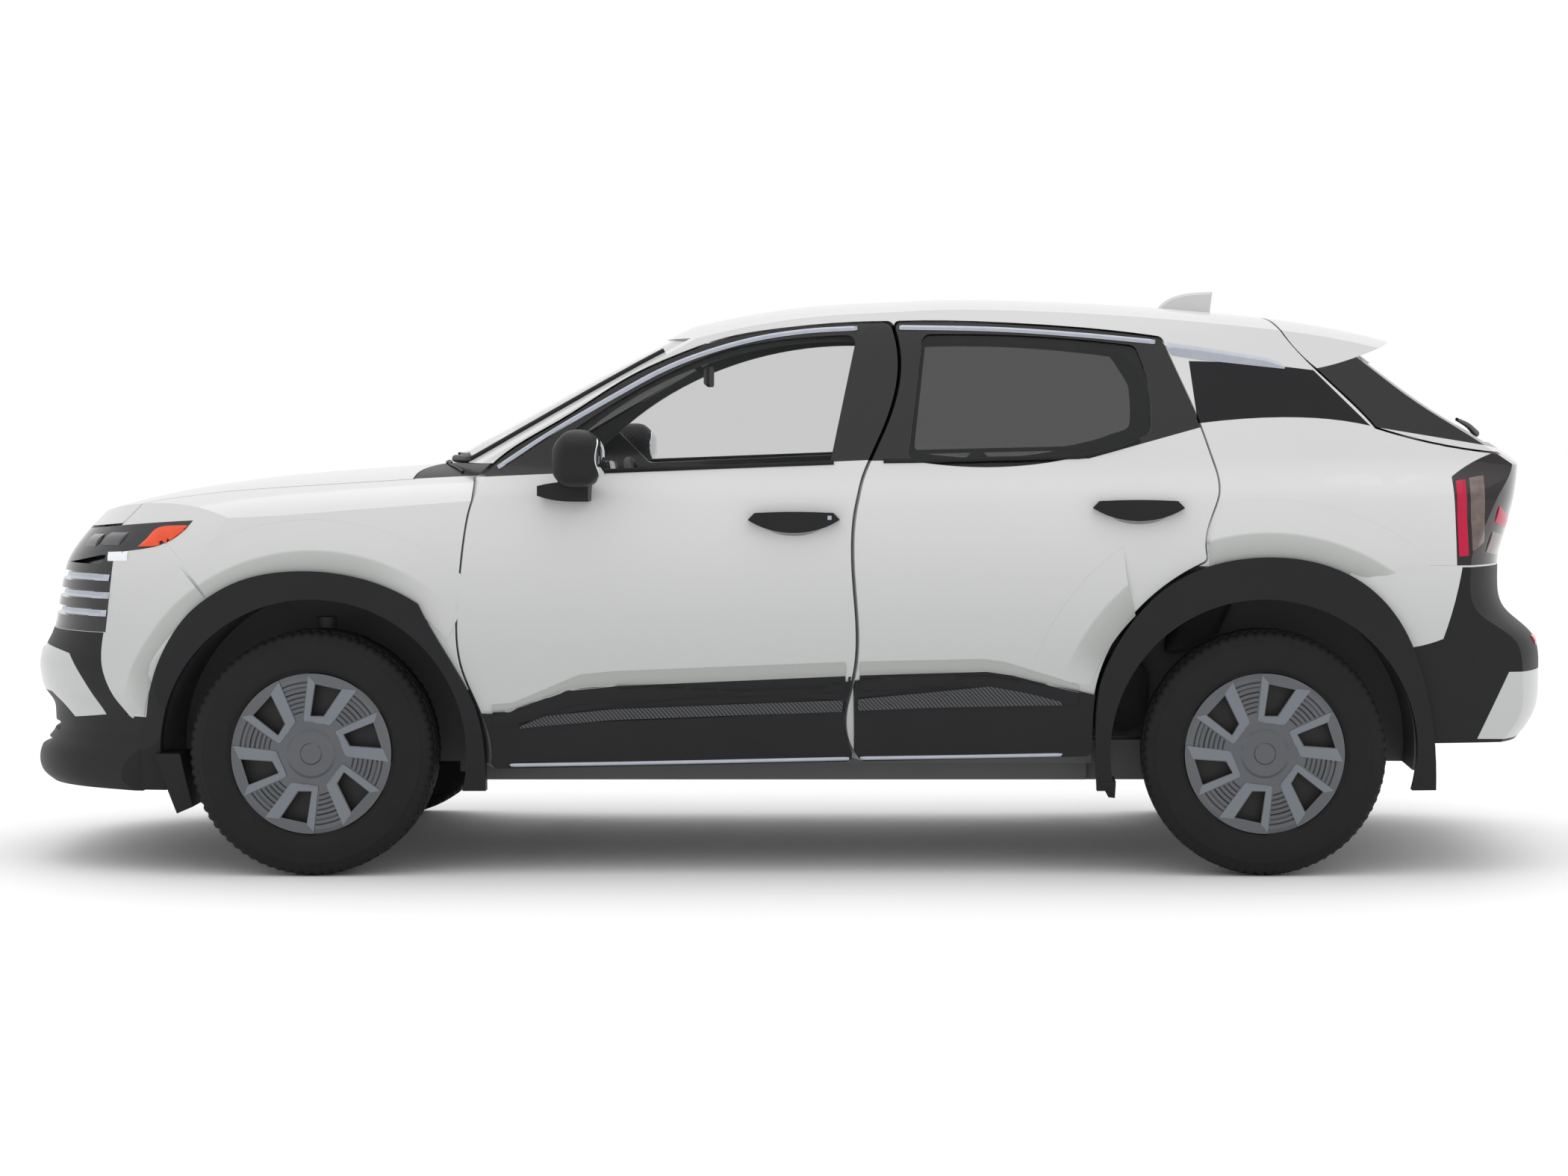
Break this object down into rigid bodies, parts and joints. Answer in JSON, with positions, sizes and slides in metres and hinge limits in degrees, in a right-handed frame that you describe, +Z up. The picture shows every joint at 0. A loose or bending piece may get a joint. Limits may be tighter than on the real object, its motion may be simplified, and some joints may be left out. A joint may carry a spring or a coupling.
{
  "type": "compact sport utility car",
  "caption": "White compact five-door sport utility car with turning wheels, coupled steering, opening doors, bonnet and tailgate, glazed hollow cabin with seats",
  "frame": {"origin": "on the ground under the middle of the car's bounding box", "axes": "X along the car with the nose toward negative X, Y across with the driver's (left) side toward negative Y, Z up"},
  "size_m": [4.3669, 2.131, 1.6511],
  "materials": {
    "paint": "gloss",
    "frame_metal": "satin",
    "clear_glass": "gloss",
    "tinted_glass": "gloss",
    "dark_plastic": "matte",
    "gloss_black": "gloss",
    "lamp_red": "gloss",
    "lamp_clear": "gloss",
    "seat_fabric": "matte",
    "cabin_plastic": "matte",
    "engine_metal": "matte",
    "tyre_rubber": "matte",
    "rim_metal": "matte",
    "cover_silver": "satin"
  },
  "bodies": {
    "body": {"body_frame": "frame_metal", "door_rings": "frame_metal", "body_sides": "paint", "roof_panel": "paint", "roof_fin": "paint", "windscreen": "clear_glass", "quarter_trims": "dark_plastic", "tail_lamps": "lamp_red", "cowl": "dark_plastic", "front_fenders": "paint", "headlamps": "lamp_clear", "front_bumper": "paint", "front_bumper_lower": "dark_plastic", "front_bumper_chin": "paint", "grille": "gloss_black", "rear_bumper": "paint", "rear_bumper_lower": "dark_plastic", "rear_bumper_accent": "paint", "front_arch_claddings": "dark_plastic", "rear_arch_claddings": "dark_plastic", "front_seats": "seat_fabric", "rear_seat": "seat_fabric", "dashboard": "cabin_plastic", "engine_block": "engine_metal", "exhaust": "engine_metal", "front_suspension": "frame_metal", "rear_axle": "frame_metal"},
    "bonnet": {"bonnet": "paint"},
    "tailgate": {"tailgate": "paint", "rear_window": "tinted_glass", "roof_spoiler": "paint"},
    "steering_wheel": {"steering_wheel": "cabin_plastic"},
    "knuckle_left": {"front_knuckle_left": "frame_metal"},
    "knuckle_right": {"front_knuckle_right": "frame_metal"},
    "wheel_front_left": {"tyre_front_left": "tyre_rubber", "rim_front_left": "rim_metal", "wheel_cover_front_left": "cover_silver"},
    "wheel_front_right": {"tyre_front_right": "tyre_rubber", "rim_front_right": "rim_metal", "wheel_cover_front_right": "cover_silver"},
    "wheel_rear_left": {"tyre_rear_left": "tyre_rubber", "rim_rear_left": "rim_metal", "wheel_cover_rear_left": "cover_silver"},
    "wheel_rear_right": {"tyre_rear_right": "tyre_rubber", "rim_rear_right": "rim_metal", "wheel_cover_rear_right": "cover_silver"},
    "front_door_left": {"front_door_left": "paint", "front_door_window_left": "clear_glass", "front_door_trim_left": "dark_plastic"},
    "front_door_right": {"front_door_right": "paint", "front_door_window_right": "clear_glass", "front_door_trim_right": "dark_plastic"},
    "rear_door_left": {"rear_door_left": "paint", "rear_door_window_left": "tinted_glass", "rear_door_trim_left": "dark_plastic"},
    "rear_door_right": {"rear_door_right": "paint", "rear_door_window_right": "tinted_glass", "rear_door_trim_right": "dark_plastic"}
  },
  "joints": [
    {"name": "steer_left", "type": "hinge", "parent": "body", "child": "knuckle_left", "pos_m": [-1.293, -0.73, 0.343], "axis": [0, 0, 1], "range_deg": [-35, 35]},
    {"name": "steer_right", "type": "hinge", "parent": "body", "child": "knuckle_right", "pos_m": [-1.293, 0.73, 0.343], "axis": [0, 0, 1], "range_deg": [-35, 35]},
    {"name": "wheel_front_left_spin", "type": "hinge", "parent": "knuckle_left", "child": "wheel_front_left", "pos_m": [-1.293, -0.79, 0.343], "axis": [0, 1, 0], "continuous": true},
    {"name": "wheel_front_right_spin", "type": "hinge", "parent": "knuckle_right", "child": "wheel_front_right", "pos_m": [-1.293, 0.79, 0.343], "axis": [0, 1, 0], "continuous": true},
    {"name": "wheel_rear_left_spin", "type": "hinge", "parent": "body", "child": "wheel_rear_left", "pos_m": [1.364, -0.79, 0.343], "axis": [0, 1, 0], "continuous": true},
    {"name": "wheel_rear_right_spin", "type": "hinge", "parent": "body", "child": "wheel_rear_right", "pos_m": [1.364, 0.79, 0.343], "axis": [0, 1, 0], "continuous": true},
    {"name": "front_door_left_hinge", "type": "hinge", "parent": "body", "child": "front_door_left", "pos_m": [-0.887, -0.882, 0.7], "axis": [0, 0, -1], "range_deg": [0, 65]},
    {"name": "front_door_right_hinge", "type": "hinge", "parent": "body", "child": "front_door_right", "pos_m": [-0.887, 0.882, 0.7], "axis": [0, 0, 1], "range_deg": [0, 65]},
    {"name": "rear_door_left_hinge", "type": "hinge", "parent": "body", "child": "rear_door_left", "pos_m": [0.1997, -0.882, 0.7], "axis": [0, 0, -1], "range_deg": [0, 62]},
    {"name": "rear_door_right_hinge", "type": "hinge", "parent": "body", "child": "rear_door_right", "pos_m": [0.1997, 0.882, 0.7], "axis": [0, 0, 1], "range_deg": [0, 62]},
    {"name": "bonnet_hinge", "type": "hinge", "parent": "body", "child": "bonnet", "pos_m": [-1.0358, 0, 1.1346], "axis": [0, 1, 0], "range_deg": [0, 50]},
    {"name": "tailgate_hinge", "type": "hinge", "parent": "body", "child": "tailgate", "pos_m": [1.407, 0, 1.575], "axis": [0, -1, 0], "range_deg": [0, 72]},
    {"name": "steering_wheel_turn", "type": "hinge", "parent": "body", "child": "steering_wheel", "pos_m": [-0.37633, -0.32418, 0.979], "axis": [0.9063, 0, 0.4226], "range_deg": [-500, 500]}
  ],
  "couplings": [
    {"joint": "steer_right", "follows": "steer_left", "ratio": 1},
    {"joint": "steering_wheel_turn", "follows": "steer_left", "ratio": 14}
  ]
}
